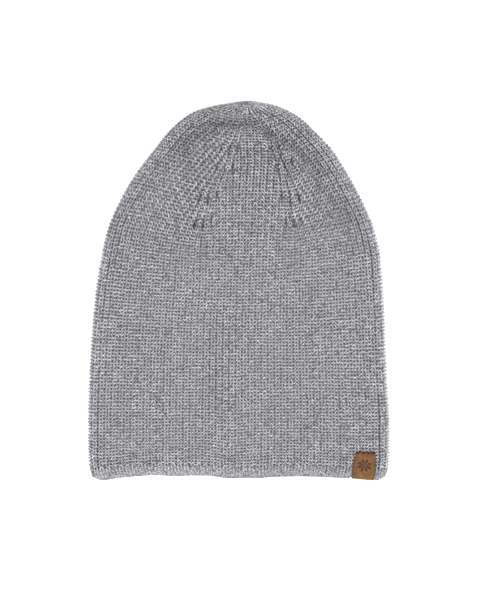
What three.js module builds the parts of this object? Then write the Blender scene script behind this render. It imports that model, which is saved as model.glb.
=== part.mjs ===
// A slouchy rib-knit beanie that lies flat on its back, with a small folded leather label on its hem.
// Millimetres: +X is to the right with the hem in front, +Y runs from the hem to the crown, +Z is up.
// The knit is one hollow piece, open at the hem, and its underside lies flat at Z = 0.

import * as THREE from "three";

// Driving dimensions
const WALL = 3.2; // thickness of the knit
const HEM_ROUND = 1.4; // how far the rounded hem edge stands past the last ring
const LEATHER = 1.2; // thickness of the label
const GAP = 0.3; // clearance between the label and the knit
const FLAT = 0.03; // lower than this, the underside is pressed flat

// Mesh density
const AROUND = 60; // points round each ring
const SECTION_SAMPLES = 720; // from which those points are picked
const HEM_COURSES = [0, 1, 2, 4]; // closer rings where the hem's corners turn in
const BODY_START = 8; // first course of the evenly ringed body
const BODY_STEP = 4.5; // courses between two rings of the body
const CROWN_STEP = 1.9; // courses between two rings of the crown
const CROWN_START = 80; // course where the crown's decreases have begun
const FOLD_WEIGHT = 16; // extra millimetres of spacing for each radian that the section turns
const HALVINGS = 40; // steps that close in on a place of given height
const SMALL_STEP = 0.05; // courses or radians to the next place when a direction is taken

// The form of the flattened section: how full its upper layer is, and how tight its lower folds are
const UPPER_FULLNESS = 3;
const UPPER_ROUNDNESS = 1 / 2.6;
const LEAST_LOWER_POWER = 2;

// The rings that set the form, from the hem to the closing gather. A ring is one knitted course.
//   course      number of courses from the hem
//   front       height above the hem corners at the middle of the upper layer
//   edge        the same at the two side folds
//   back        the same at the middle of the lower layer
//   left, right where the side folds lie
//   top         level of the upper layer's middle
//   fold        level of the side folds
//   under       level of the lower layer's middle
const RINGS = {
  columns: ["course", "front", "edge", "back", "left", "right", "top", "fold", "under"],
  rows: [
    [0, 3.0, 1.2, 2.4, -112.0, 112.0, 15.5, 5.5, 0],
    [2, 8.1, 6.2, 7.5, -114.3, 114.2, 16.0, 5.5, 0],
    [8, 22.7, 21.2, 22.7, -115.7, 115.4, 16.5, 5.5, 0],
    [17.5, 45.8, 45.1, 45.8, -115.7, 115.4, 16.5, 5.5, 0],
    [29, 75.1, 75.1, 75.1, -114.9, 113.6, 16.5, 5.5, 0],
    [37.5, 96.7, 99.0, 96.7, -113.8, 112.6, 16.5, 5.5, 0],
    [46, 118.3, 122.5, 118.3, -112.0, 111.7, 16.5, 5.5, 0],
    [54.5, 139.8, 146.0, 139.8, -109.6, 110.4, 17.0, 5.5, 0],
    [63, 161.4, 170.3, 161.4, -105.7, 108.5, 18.0, 6.0, 0],
    [71.5, 183.0, 194.9, 183.0, -99.8, 102.9, 19.5, 6.5, 0],
    [79.5, 204.5, 219.2, 205.3, -88.8, 92.1, 21.5, 7.5, 0],
    [86, 222.3, 236.9, 224.6, -78.0, 82.3, 23.5, 8.5, 0],
    [92.5, 239.2, 253.8, 243.1, -64.9, 71.5, 25.0, 9.5, 0],
    [98.5, 253.8, 267.3, 260.0, -54.5, 59.2, 25.8, 11.0, 0],
    [103.5, 265.4, 277.0, 273.9, -44.1, 49.2, 26.0, 12.0, 0.3],
    [108, 275.0, 283.9, 284.7, -32.5, 38.4, 25.5, 13.0, 2.0],
    [111, 280.4, 287.2, 289.3, -20.0, 29.9, 24.5, 14.0, 5.5],
    [113.5, 284.3, 289.2, 291.4, -8.0, 21.8, 23.8, 16.0, 11.0],
    [115, 286.6, 289.4, 291.4, 1.0, 15.2, 23.0, 18.5, 15.5],
    [116, 288.5, 288.5, 288.5, 6.8, 6.8, 21.5, 21.5, 21.5],
  ],
};
const LAST_COURSE = 116;

// How far the hem's edge lies crownward of its mean line, which is gone LIFT_COURSES further up
const HEM_LIFT = {
  columns: ["x", "lift"],
  rows: [
    [-116, -0.7],
    [-109, -0.7],
    [-92, 1.2],
    [-65, 2.7],
    [-48, 1.9],
    [-35, 2.3],
    [-22, 1.8],
    [-7, 0.1],
    [15, 0.2],
    [25, 1.1],
    [48, 1.7],
    [80, 0.9],
    [108, -0.5],
    [116, -0.5],
  ],
};
const LIFT_COURSES = 16;

// Dents in the upper layer, each a soft valley along a line from one point to another in plan
const DENTS = {
  columns: ["x0", "y0", "x1", "y1", "depth", "width"],
  rows: [
    [-20, 275.5, 8, 275.0, 4.5, 4.5], // under the gather
    [8, 279.0, 50, 253.0, 5.0, 5.0], // from the gather down the right of the crown
    [50, 253.0, 84, 198.0, 4.0, 6.0], // on beside the right fold
    [-20, 275.5, -44, 257.0, 2.5, 7.0], // down the left of the crown
    [-8, 8.0, -5, 105.0, 0.9, 5.0], // soft crease up the middle of the body
  ],
};

// The label's corners as it lies on the upper layer, and how far up the inner tab goes
const LABEL = {
  topLeft: { x: 90.0, y: 21.9 },
  topRight: { x: 104.6, y: 21.5 },
  bottomLeft: { x: 87.0 },
  bottomRight: { x: 104.0 },
  tabRows: 6,
  bendRows: 6,
  columns: 4,
};

const COLOURS = { knit: 0x9a9a9e, leather: 0x8a5a33 };

const clamp = THREE.MathUtils.clamp;
const lerp = THREE.MathUtils.lerp;

// A table's rows as objects with its columns' names
function named(table) {
  return table.rows.map((row) =>
    Object.fromEntries(table.columns.map((column, i) => [column, row[i]])),
  );
}

const rings = named(RINGS);
const hemLifts = named(HEM_LIFT);
const dents = named(DENTS);

// The slope of one column at a row, kept flat at a peak so that the curve never overshoots
function slopeAt(rows, key, column, i) {
  const before = rows[Math.max(i - 1, 0)];
  const here = rows[i];
  const after = rows[Math.min(i + 1, rows.length - 1)];
  const stepIn = (here[column] - before[column]) / (here[key] - before[key] || 1);
  const stepOut = (after[column] - here[column]) / (after[key] - here[key] || 1);
  if (i === 0) return stepOut;
  if (i === rows.length - 1) return stepIn;
  return stepIn * stepOut > 0 ? (2 * stepIn * stepOut) / (stepIn + stepOut) : 0;
}

// All the columns of a table at a value of its first one, on a smooth curve through its rows
function rowAt(rows, columns, value) {
  const [key, ...others] = columns;
  const last = rows.length - 1;
  const at = clamp(value, rows[0][key], rows[last][key]);
  const next = Math.max(rows.findIndex((row) => row[key] >= at), 1);
  const [a, b] = [rows[next - 1], rows[next]];
  const span = b[key] - a[key];
  const t = (at - a[key]) / span;
  const found = { [key]: at };
  for (const column of others) {
    const leave = slopeAt(rows, key, column, next - 1) * span;
    const arrive = slopeAt(rows, key, column, next) * span;
    found[column] =
      (2 * t ** 3 - 3 * t ** 2 + 1) * a[column] +
      (t ** 3 - 2 * t ** 2 + t) * leave +
      (3 * t ** 2 - 2 * t ** 3) * b[column] +
      (t ** 3 - t ** 2) * arrive;
  }
  return found;
}

const ringAt = (course) => rowAt(rings, RINGS.columns, course);

// How far a point near the hem is moved crownward
function liftAt(x, course) {
  if (course >= LIFT_COURSES) return 0;
  const left = 1 - THREE.MathUtils.smoothstep(course, 0, LIFT_COURSES);
  return left * rowAt(hemLifts, HEM_LIFT.columns, x).lift;
}

// How deep the dents are at a point of the upper layer
function dentDepth(x, y) {
  let depth = 0;
  for (const d of dents) {
    const [dx, dy] = [d.x1 - d.x0, d.y1 - d.y0];
    const t = clamp(((x - d.x0) * dx + (y - d.y0) * dy) / (dx * dx + dy * dy), 0, 1);
    const away = Math.hypot(x - d.x0 - t * dx, y - d.y0 - t * dy);
    depth = Math.max(depth, d.depth * Math.exp(-((away / d.width) ** 2)));
  }
  return depth;
}

// A point of the outer surface. Angle 0 is the right fold, a quarter turn on is the upper layer's middle.
function shellPoint(ring, angle) {
  const across = Math.cos(angle);
  const reach = Math.abs(across);
  const halfWidth = (ring.right - ring.left) / 2;
  const x = (ring.left + ring.right) / 2 + halfWidth * across;
  const isUpper = Math.sin(angle) >= 0;
  const middle = isUpper ? ring.front : ring.back;
  const y = lerp(middle, ring.edge, reach ** 2) + liftAt(x, ring.course);
  if (isUpper) {
    const crown = (1 - reach ** UPPER_FULLNESS) ** UPPER_ROUNDNESS;
    const z = ring.fold + (ring.top - ring.fold) * crown;
    return new THREE.Vector3(x, y, z - dentDepth(x, y) * crown);
  }
  const foldDepth = Math.max(ring.fold - ring.under, 1);
  const power = Math.max((2 * halfWidth) / foldDepth, LEAST_LOWER_POWER);
  const z = ring.fold - (ring.fold - ring.under) * Math.sqrt(1 - reach ** power);
  return new THREE.Vector3(x, y, z < FLAT ? 0 : z);
}

// The points of one ring, from the right fold by the lower layer, closer together where the section turns
function ringPoints(course) {
  const ring = ringAt(course);
  const samples = [];
  for (let i = 0; i <= SECTION_SAMPLES; i++)
    samples.push(shellPoint(ring, (-2 * Math.PI * i) / SECTION_SAMPLES));
  const spacing = [0];
  for (let i = 1; i <= SECTION_SAMPLES; i++) {
    const step = samples[i].clone().sub(samples[i - 1]);
    const before = samples[i - 1].clone().sub(samples[i > 1 ? i - 2 : SECTION_SAMPLES - 1]);
    spacing.push(spacing[i - 1] + step.length() + FOLD_WEIGHT * step.angleTo(before));
  }
  const points = [];
  let next = 1;
  for (let k = 0; k < AROUND; k++) {
    const target = (spacing[SECTION_SAMPLES] * k) / AROUND;
    while (spacing[next] < target) next++;
    const t = (target - spacing[next - 1]) / (spacing[next] - spacing[next - 1]);
    points.push(samples[next - 1].clone().lerp(samples[next], t));
  }
  return points;
}

// The courses that get a ring, up to the one before the closing gather
function ringCourses() {
  const courses = [...HEM_COURSES];
  for (let c = BODY_START; c < CROWN_START; c += BODY_STEP) courses.push(c);
  const crownSteps = Math.round((LAST_COURSE - CROWN_START) / CROWN_STEP);
  for (let i = 0; i < crownSteps; i++)
    courses.push(lerp(CROWN_START, LAST_COURSE, i / crownSteps));
  return courses;
}

// The outward direction at each point of a grid of rings
function normalsOf(grid, pole) {
  return grid.map((points, i) =>
    points.map((p, k) => {
      const along = points[(k + 1) % AROUND].clone().sub(points[(k + AROUND - 1) % AROUND]);
      const above = i + 1 < grid.length ? grid[i + 1][k] : pole;
      const below = i > 0 ? grid[i - 1][k] : p;
      return along.cross(above.clone().sub(below)).normalize();
    }),
  );
}

// A closed mesh from its corners and the triangles between them
function meshOf(name, corners, triangles, material) {
  const geometry = new THREE.BufferGeometry().setFromPoints(corners);
  geometry.setIndex(triangles);
  geometry.computeVertexNormals();
  const mesh = new THREE.Mesh(geometry, material);
  mesh.name = name;
  return mesh;
}

// Two triangles for each cell between two rows of corners
function joinRows(triangles, lower, upper, count, closed) {
  const cells = closed ? count : count - 1;
  for (let k = 0; k < cells; k++) {
    const k1 = (k + 1) % count;
    triangles.push(lower + k, lower + k1, upper + k1, lower + k, upper + k1, upper + k);
  }
}

// The knit: the outer surface, the same set in by the wall, and a rounded edge that joins them at the hem
function knitShell() {
  const grid = ringCourses().map(ringPoints);
  const pole = shellPoint(ringAt(LAST_COURSE), 0);
  const normals = normalsOf(grid, pole);
  const poleNormal = normals[grid.length - 1]
    .reduce((sum, n) => sum.add(n), new THREE.Vector3())
    .normalize();
  const inset = (p, n) => p.clone().addScaledVector(n, -WALL);
  const inner = grid.map((points, i) => points.map((p, k) => inset(p, normals[i][k])));
  const hem = grid[0].map((p, k) => {
    const outward = p.clone().sub(grid[1][k]).normalize().multiplyScalar(HEM_ROUND);
    return p.clone().lerp(inner[0][k], 1 / 2).add(outward);
  });

  const rows = [...inner].reverse().concat([hem], grid);
  const corners = rows.flat();
  const triangles = [];
  for (let i = 1; i < rows.length; i++)
    joinRows(triangles, (i - 1) * AROUND, i * AROUND, AROUND, true);
  const innerPole = corners.push(inset(pole, poleNormal)) - 1;
  const outerPole = corners.push(pole) - 1;
  const lastRow = (rows.length - 1) * AROUND;
  for (let k = 0; k < AROUND; k++) {
    const k1 = (k + 1) % AROUND;
    triangles.push(innerPole, k1, k);
    triangles.push(outerPole, lastRow + k, lastRow + k1);
  }
  const wool = new THREE.MeshStandardMaterial({
    color: COLOURS.knit,
    roughness: 0.95,
    metalness: 0,
  });
  return meshOf("knit_shell", corners, triangles, wool);
}

// The place on the upper layer at a given x and height, with the outward and crownward directions there
function placeOnFront(x, height) {
  const angleAt = (ring) =>
    Math.acos((x - (ring.left + ring.right) / 2) / ((ring.right - ring.left) / 2));
  const at = (course, turn = 0) => {
    const ring = ringAt(course);
    return shellPoint(ring, angleAt(ring) - turn);
  };
  let [low, high] = [0, CROWN_START];
  for (let i = 0; i < HALVINGS; i++) {
    const middle = (low + high) / 2;
    if (at(middle).y < height) low = middle;
    else high = middle;
  }
  const point = at(low);
  const up = at(low + SMALL_STEP).sub(point).normalize();
  const across = at(low, SMALL_STEP).sub(point);
  return { point, up, out: across.cross(up).normalize() };
}

// The label: a leather strip folded over the hem, its outer tab on the upper layer and its inner tab inside
function leatherLabel() {
  const { topLeft, topRight, bottomLeft, bottomRight, tabRows, bendRows, columns } = LABEL;
  const hemHeight = (x) => placeOnFront(x, 0).point.y;
  const strip = (w, t) => {
    const x = lerp(lerp(topLeft.x, topRight.x, w), lerp(bottomLeft.x, bottomRight.x, w), t);
    return placeOnFront(x, lerp(lerp(topLeft.y, topRight.y, w), hemHeight(x), t));
  };
  // One row across the strip, seen on its face that touches the knit and on its other face
  const touching = [];
  const showing = [];
  const addRow = (t, offset) => {
    const near = [];
    const far = [];
    for (let k = 0; k <= columns; k++) {
      const place = strip(k / columns, t);
      near.push(offset(place, GAP));
      far.push(offset(place, GAP + LEATHER));
    }
    touching.push(near);
    showing.push(far);
  };
  for (let i = 0; i < tabRows; i++)
    addRow(i / tabRows, ({ point, out }, d) => point.clone().addScaledVector(out, d));
  for (let i = 0; i <= bendRows; i++) {
    const turn = (Math.PI * i) / bendRows;
    addRow(1, ({ point, out, up }, d) =>
      point
        .clone()
        .addScaledVector(out, -WALL / 2 + (WALL / 2 + d) * Math.cos(turn))
        .addScaledVector(up, -(HEM_ROUND + d) * Math.sin(turn)),
    );
  }
  for (let i = tabRows - 1; i >= 0; i--)
    addRow(i / tabRows, ({ point, out }, d) => point.clone().addScaledVector(out, -WALL - d));

  // Each row becomes a closed loop of corners, and the loops are joined from one tab's end to the other's
  const count = 2 * (columns + 1);
  const loops = touching.map((near, i) => [...near, ...showing[i].reverse()]);
  const triangles = [];
  for (let i = 1; i < loops.length; i++)
    joinRows(triangles, (i - 1) * count, i * count, count, true);
  const last = (loops.length - 1) * count;
  for (let k = 0; k < columns; k++) {
    const [a, b, c, d] = [k, k + 1, count - 2 - k, count - 1 - k];
    triangles.push(a, c, b, a, d, c);
    triangles.push(last + a, last + b, last + c, last + a, last + c, last + d);
  }
  const leather = new THREE.MeshStandardMaterial({
    color: COLOURS.leather,
    roughness: 0.7,
    metalness: 0,
  });
  return meshOf("leather_label", loops.flat(), triangles, leather);
}

// The whole beanie, moved so that the middle of its box lies over the origin
const beanie = new THREE.Group();
beanie.add(knitShell(), leatherLabel());
const middle = new THREE.Box3().setFromObject(beanie).getCenter(new THREE.Vector3());
beanie.position.set(-middle.x, -middle.y, 0);

export default beanie;
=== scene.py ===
"""A slouchy rib-knit beanie that lies flat on its back, with a small folded leather label on its hem.

The knit is one fabric of ribs and courses, laid on the flattened bag that the CAD model gives.
Its yarn is real relief: each course zigzags over the ribs, with a pit between two courses.
Measures are millimetres on the photographed face, and turn into metres when a mesh is made.
An effect is written as its strength and the spans of courses over which it sets in. A span with its
higher course first is where it dies out.
"""

import math

import bpy
import numpy as np
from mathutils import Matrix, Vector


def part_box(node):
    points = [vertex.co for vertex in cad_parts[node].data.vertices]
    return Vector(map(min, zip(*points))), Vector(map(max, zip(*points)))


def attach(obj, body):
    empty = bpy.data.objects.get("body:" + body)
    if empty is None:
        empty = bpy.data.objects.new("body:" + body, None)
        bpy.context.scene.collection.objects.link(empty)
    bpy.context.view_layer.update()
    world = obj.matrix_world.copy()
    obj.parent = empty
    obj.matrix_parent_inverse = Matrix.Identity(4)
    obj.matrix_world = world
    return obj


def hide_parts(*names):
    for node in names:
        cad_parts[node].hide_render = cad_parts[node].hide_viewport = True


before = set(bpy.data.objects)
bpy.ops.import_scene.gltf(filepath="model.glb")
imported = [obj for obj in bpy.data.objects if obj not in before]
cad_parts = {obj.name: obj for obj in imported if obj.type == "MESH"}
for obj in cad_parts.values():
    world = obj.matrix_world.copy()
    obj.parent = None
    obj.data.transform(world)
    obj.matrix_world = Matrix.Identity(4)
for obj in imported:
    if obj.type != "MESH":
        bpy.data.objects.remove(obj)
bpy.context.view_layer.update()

MM = 0.001

# The bag, as in the CAD model
WALL = 3.2  # thickness of the knit
HEM_ROUND = 2.2  # how far the rounded hem edge stands past course 0
PINCHED_HEM = 0.9  # the same where the label holds it
FLAT = 0.03  # lower than this, the underside is pressed flat
LAST_COURSE = 116
UPPER_FULLNESS = 3  # how far the upper side stays high towards the folds
UPPER_ROUNDNESS = 1 / 2.6  # how round it comes down to them
LEAST_LOWER_POWER = 2  # the same for the underside, where it is roundest

# The bag's rings. Front, edge and back are how far up the table each ring lies there,
# and top, fold and under are its heights above it.
# course, front, edge, back, left, right, top, fold, under
RINGS = np.array([
    (0, 3, 1.2, 2.4, -112, 112, 15.5, 5.5, 0),
    (2, 8.1, 6.2, 7.5, -114.3, 114.2, 16, 5.5, 0),
    (8, 22.7, 21.2, 22.7, -115.7, 115.4, 16.5, 5.5, 0),
    (17.5, 45.8, 45.1, 45.8, -115.7, 115.4, 16.5, 5.5, 0),
    (29, 75.1, 75.1, 75.1, -114.9, 113.6, 16.5, 5.5, 0),
    (37.5, 96.7, 99, 96.7, -113.8, 112.6, 16.5, 5.5, 0),
    (46, 118.3, 122.5, 118.3, -112, 111.7, 16.5, 5.5, 0),
    (54.5, 139.8, 146, 139.8, -109.6, 110.4, 17, 5.5, 0),
    (63, 161.4, 170.3, 161.4, -105.7, 108.5, 18, 6, 0),
    (71.5, 183, 194.9, 183, -99.8, 102.9, 19.5, 6.5, 0),
    (79.5, 204.5, 219.2, 205.3, -88.8, 92.1, 21.5, 7.5, 0),
    (86, 222.3, 236.9, 224.6, -78, 82.3, 23.5, 8.5, 0),
    (92.5, 239.2, 253.8, 243.1, -64.9, 71.5, 25, 9.5, 0),
    (98.5, 253.8, 267.3, 260, -54.5, 59.2, 25.8, 11, 0),
    (103.5, 265.4, 277, 273.9, -44.1, 49.2, 26, 12, 0.3),
    (108, 275, 283.9, 284.7, -32.5, 38.4, 25.5, 13, 2),
    (111, 280.4, 287.2, 289.3, -20, 29.9, 24.5, 14, 5.5),
    (113.5, 284.3, 289.2, 291.4, -8, 21.8, 23.8, 16, 11),
    (115, 286.6, 289.4, 291.4, 1, 15.2, 23, 18.5, 15.5),
    (116, 288.5, 288.5, 288.5, 6.8, 6.8, 21.5, 21.5, 21.5),
])

# x0, y0, x1, y1, depth, width
DENTS = [
    (-20, 275.5, 8, 275, 4.5, 4.5),
    (8, 279, 50, 253, 5, 5),
    (50, 253, 84, 198, 4, 6),
    (-20, 275.5, -44, 257, 2.5, 7),
    (-8, 8, -5, 105, 0.9, 5),
]

# x, and how far the hem's edge there lies crownward of its mean line
HEM_LIFT = np.array([
    (-116, 3.8), (-112, 1), (-106, -0.4), (-92, 1.2), (-65, 2.7), (-48, 1.9), (-35, 2.3), (-22, 1.8),
    (-7, 0.1), (15, 0.2), (25, 1.1), (48, 1.7), (80, 0.9), (107, -0.5), (112, 1.2), (116, 3),
])
HEM_LIFT_COURSES = 16  # where the lift has died out
HELD_HEM = (95.5, 9.0)  # the middle and half the width of the hem that the label holds
HELD_ENDS = (2.5, -0.5)  # how far past that width its hold sets in and is full

# The ribs: how many lie left and right of the crown's centre line on one face of the body
LEFT_RIBS = 24
RIGHT_RIBS = 22
RIBS = LEFT_RIBS + RIGHT_RIBS

# The decrease rounds: course, the two marks' x, and the ribs that each mark takes out
ROUNDS = np.array([
    (77.2, -27.1, 42.2, 3, 3),
    (84.5, -23.3, 39.1, 3, 3),
    (92.8, -10.9, 36.1, 3, 3),
    (98.8, -7.1, 28.4, 3, 2),
    (105.3, -2.1, 19.1, 2, 2),
    (111, 4.8, 9.1, 1, 1),
])
ROUND_AT, LEFT_MARKS, RIGHT_MARKS = ROUNDS[:, :3].T
LOSS_COURSES = (72, 113)  # between which the ribs' mean width takes up all the losses
MARK_SPREAD = 12.0  # half the width over which a mark's ribs close up
MOST_SPREAD = 0.9  # of the way from the centre line to the mark
MARK_BLEND = 0.6  # courses over which the relief takes up the new rib count
SWING_BLEND = 1.5  # the same for the yarns' way over the ribs

# The open slits of the first rounds' marks, one to each rib that is lost
SLIT_ROUNDS = 4
SLIT_STEP = 6.0  # between the slits of a mark
SLIT_LEAN = -0.55  # how far outward it goes with each course
SLIT_FAN = -0.5  # how much more each slit leans than the one before it
SLIT_HALF_WIDTH = 0.5
SLIT_ENDS = (2.5, 1.7)  # courses from the round between which a slit closes
SLIT_DEPTH = 0.92
# how far the slits' painted shade is pushed towards the darkest
SLIT_DARKNESS = 0.12

# The crown's centre line and the width of its middle ribs against the mean, by course
CENTRE_LINE = np.array([(0, 4.6), (46, 4.8), (77.2, 7.5), (84.5, 7.9), (95, 9.5), (105.3, 8.3), (111, 6.9)])
MIDDLE_WIDTH = np.array([(0, 1), (58, 1), (77, 1.1), (103, 1.1), (111, 1)])

# How the knitted courses run against the rings: arched in the crown's middle, kinked at its marks,
# and dipped at the body's crease
ARCH = 1.2
ARCHED = (1, (62, 76), (109, 102))
KINK_SOFTNESS = 2.0
CREASE_X = -7.5
CREASE_WIDTH = 14
CREASE_DIP = (1.4, (0, 7), (42, 26))

# The density of the knit's mesh
FRONT_CELLS = 8  # to each rib
BACK_CELLS = 6
COURSE_ROWS = 5  # to each course
RIM_ROWS = 9
RIM_COURSES = (-1.2, -0.1)  # the course numbers of the rim's first and last row
TOP_COURSE = 115.6  # the last row before the closing point
INSIDE_TOP = 114
INSIDE_FINE = 12  # courses that have more rows
INSIDE_ROWS = 3
ARC_SAMPLES = 241
RISE_SHARE = 0.35  # how much of its rise counts where the ribs share out the way round a ring

# The knit's pieces: name, first and last course
BANDS = [
    ("knit_hem", -2, 22),
    ("knit_lower_body", 22, 46),
    ("knit_upper_body", 46, 69),
    ("knit_crown", 69, 92),
    ("knit_crown_top", 92, LAST_COURSE),
]

# The stitches
COURSE_LENGTH = 2.52  # from yarn to yarn
FULL_PITCH = 4.6  # the rib width at which the relief has its full size
LEAST_SCALE = 0.25  # of the relief, where the ribs are narrow
ZIGZAG = 0.585  # how far a course swings up at a rib and down at a valley, in courses
ZIGZAG_WANDER = 0.13  # how far it strays from that at random
YARN = 0.8  # half its thickness
YARN_WANDER = 0.1
YARN_SIDE = 0.45  # how far the relief follows the yarn's round side down
RIB_HEIGHT = 0.2
HEAD_DROP = 0.12  # how much lower the loops' heads lie than the slanted legs
CREST_WANDER = 0.15
PIT = (2.3, (0.16, 0.42))  # between two courses: its depth, and where it falls away from the yarn
PIT_SHARPNESS = 2.5
PIT_IN_VALLEY = 0.2  # how much deeper a valley's pits are than a rib's
PIT_WANDER = 0.45
LEG_GROOVE = (0.33, (0.2, 0.4))  # the same, beside the slanted legs
MOST_DEPTH = 2.3  # of the whole relief
FIRST_STITCHES = (2.2, 3.2)  # courses over which the hem's edging gives way to stitches
LAST_SWINGS = (114.5, 111.5)  # courses over which the zigzag dies out

# The slow sway of the courses: size in courses, turn with each rib, turn with each course, start
SWAYS = [
    (0.07, 0.41, 0.13, 0.0),
    (0.06, 0.17, -0.29, 1.3),
]

# The random qualities of the yarn by their seeds, and how many values each takes from rib to rib
THICKNESS, CREST, OPENING, STRAY, TONE, LONG_TONE, EDGING = range(1, 8)
GRAIN = {THICKNESS: 1.7, CREST: 2, OPENING: 2, STRAY: 1.3, TONE: 2, LONG_TONE: 0.35, EDGING: 2}

# The hem's edging
EDGING_LEVEL = 0.25
EDGING_WANDER = 0.04
ROLL_SLIT = 0.1  # depth of the slits on its smooth roll
EDGING_SLIT = (0.5, (0.2, 0.9), (3.2, 2.6))  # how much deeper they are above it
EDGING_SHARPNESS = 3

# The valleys between ribs, where they stand open
VALLEY_OPENING = 0.6
VALLEY_SHARPNESS = 6
LEFT_LINE = (7.0, 9.0)  # from the fold to the open valleys beside it, in the body and in the crown
RIGHT_LINE = (6.2, 9.0)
LINE_WIDTH = (3.0, 5.5)
RIGHT_CROWN_LINE = 0.6  # how much wider the line stands open in the crown's right side
CROWN_LINE_COURSES = (58, 75)
CLOSED_LINE = (0.6, (20, 32), (62, 50))  # how far the line closes in the middle of the body
MIDDLE_REACH = 0.5  # of half the bag's width
MIDDLE_VALLEYS = [(0.15, (66, 84), (104, 97)), (0.75, (85, 90), (104, 97))]
CREASE_VALLEY = (0.55, (18, 30), (56, 44))
CREASE_VALLEY_X = -15.5

# The closing's pleats
PLEATS = (109.0, 112.5)  # courses over which stitches give way to them
PLEAT_DEPTH = 1.2
PLEAT_CALM = 0.5  # how much flatter the stitches are there
PLEAT_END = (0.5, (113, 115.6))  # how much shallower a pleat is at its end

# The folds and the crown: what they change in the relief
FOLD_SPAN = 0.12  # how far round the bag a fold reaches
FOLD_STILL = 0.8  # how much less a course swings there
FOLD_CALM = 0.35  # how much flatter the stitches are there
FOLD_SWELL = (1.15, (104, 90))  # how far the fold stands out
FOLD_LOOPS = 0.45  # how far its loops stand out more, one to each course
LOOP_START = 0.25  # in courses
CROWN_CALM = (0.17, (66, 80))  # how much flatter they are in the crown
LEFT_CROWN_CALM = (0.35, (66, 80))

# How dark the painted shade in the relief's hollows shows in the crown
DARKEST = 1.4  # the depth from which on they grow no darker
CLAMPED = (66, 80)  # where that sets in
MIDDLE_DEPTH = 0.7  # the depth towards which all places fade
CROWN_FADE = (0.3, (66, 80))
FADE_CLEARANCE = 14  # from the folds
LEFT_CROWN_FADE = (0.8, (82, 92))
FADED_LEFT = (0.1, -0.3)  # cosines of the angle between which the left side sets in

# How light the yarn is: random tones along it, and the painted light and painted shade that lighten or
# darken each place
TONE_SWING = 0.65
LONG_TONE_SWING = 0.05
EDGING_TONES = 0.3  # how much of the tones shows on the edging
EDGING_SHADE = np.array([(-112, 1.35), (-40, 0.95), (30, 1.4), (112, 1.3)])  # painted shade on the edging, at each x
EDGING_SHADE_ENDS = (4.2, 2.2)
# painted shade on the hem's lip
LIP_SHADE = (0.9, (0.9, -0.7))
# painted light near the folds, and more near the crown's folds
FOLD_LIGHT = 0.3
FOLD_REACH = 6
CROWN_FOLD_LIGHT = (0.5, (66, 90))
CROWN_FOLD_REACH = 12
LEFT_FOLD_SHADE = 1.62  # painted shade on the fold's very edge
RIGHT_FOLD_SHADE = 0.63
FOLD_SHADE_WIDTH = 2
FOLD_SHADE_LOSS = (0.6, (60, 90))
# painted shade on the crown, more on its left side
CROWN_SHADE = (0.58, (60, 80))
LEFT_CROWN_SHADE = 0.8
SHADED_LEFT = (0.05, -0.55)
# painted light on the gather
GATHER_LIGHT = (0.35, (108, 113))
# painted shade in the dents
DENT_SHADE = (0.4, (60, 75))

# The inside of the knit
INSIDE_RIB = (0.35, (0, 2))
INSIDE_STITCH = (0.25, (0.5, 2), (12, 9))
INSIDE_SWING = 0.5
INSIDE_HOLLOW = 1.1  # the depth that the inside's painted shade is taken from
# the depth that the closing point's painted shade is taken from
TIP_HOLLOW = 0.5
TIP_SINK = 0.5  # of the closing point, outside
INSIDE_TIP_SINK = 0.6  # the same inside, past the wall's thickness

# The bands' texture map: four strips side by side, and above them a place for the walls
STRIPS = 4
STRIPS_TOP = 0.96
STRIP_MARGIN = 0.02
STRIP_END = 0.005
WALL_CORNERS = [(0.1, 0.97), (0.9, 0.97), (0.5, 0.99)]

# The label: a strip of leather folded over the hem, seen from its outer tab's top to its inner tab's top
LEATHER = 1.2
LABEL_GAP = 0.3
LABEL_BEND = 0.5  # from course 0 down to the leather's inner face at the hem
LABEL_WIDTH = 16.0
TAB_LENGTH = 20.5
LABEL_TOP = ((90.0, 21.9), (104.6, 21.5))  # its left and right corner
LABEL_HEM_X = (87.0, 104.0)
LABEL_BULGE = 0.7  # of each side, half way down
LABEL_COLUMNS = 60
TAB_ROWS = 84
BEND_ROWS = 18
INNER_ROWS = 26
CUT_STEPS = np.array([0, 0.12, 0.3, 0.5])  # the mesh's lines beside a cut
NEXT_COLUMN = 0.6
CUT_ROUND = 0.45  # how far in from a cut edge the leather's face is rounded
CUT_SIDE = 0.55  # share of the thickness that is left at the cut
WORN_EDGE = 0.8  # how far in from a cut the leather is worn
BACK_WEAR = 0.6
SHARP_ANGLE = 42  # degrees

# The star pressed into the label
STAR_SPOT = (0.5, 0.52)  # across and down the outer tab
STAR_SIZE = 6.0
STAR_HUB = 0.35
STAR_DEPTH = 0.22
STAR_SLOPE = (-0.05, 0.16)
PETALS = 8
PETAL_HALF_WIDTH = 1.15
PETAL_WIDEST = 0.6  # how far out

# The label's stitches
STITCHES = [(91.4, 20.9), (95.5, 20.7), (99.6, 20.5), (103.2, 20.3)]
STITCH_LENGTH = 2.1
STITCH_RISE = 0.2
STITCH_DIVE = 0.5  # how far its ends go down into the leather
DIVE_SHARE = 0.07
STITCH_ROWS = 25
SEAM_PULL = 0.16  # how far the thread pulls the leather in along the row
SEAM_WIDTH = 0.7
HOLE_PULL = 0.3
HOLE_WIDTH = 0.4
THREAD = 0.5  # half the thread's thickness
THREAD_SIDES = 16
THREAD_SUNK = 0.15
THREAD_TURNS = 2.5  # of its two plies on one stitch
PLY_RELIEF = 0.16

# The wool's painted shade in the relief's hollows, and its bump
HOLLOW_SHADE = {"From Min": 0.12, "From Max": 0.58, "To Min": 1.0, "To Max": 0.05}
TONE_LIGHT = 0.24  # how much lighter a full tone, random or painted light, makes it
PLIES_PER_RIB = 4
PLY_SLANT = 1.2
PLY_SHARE = 0.2

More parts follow.
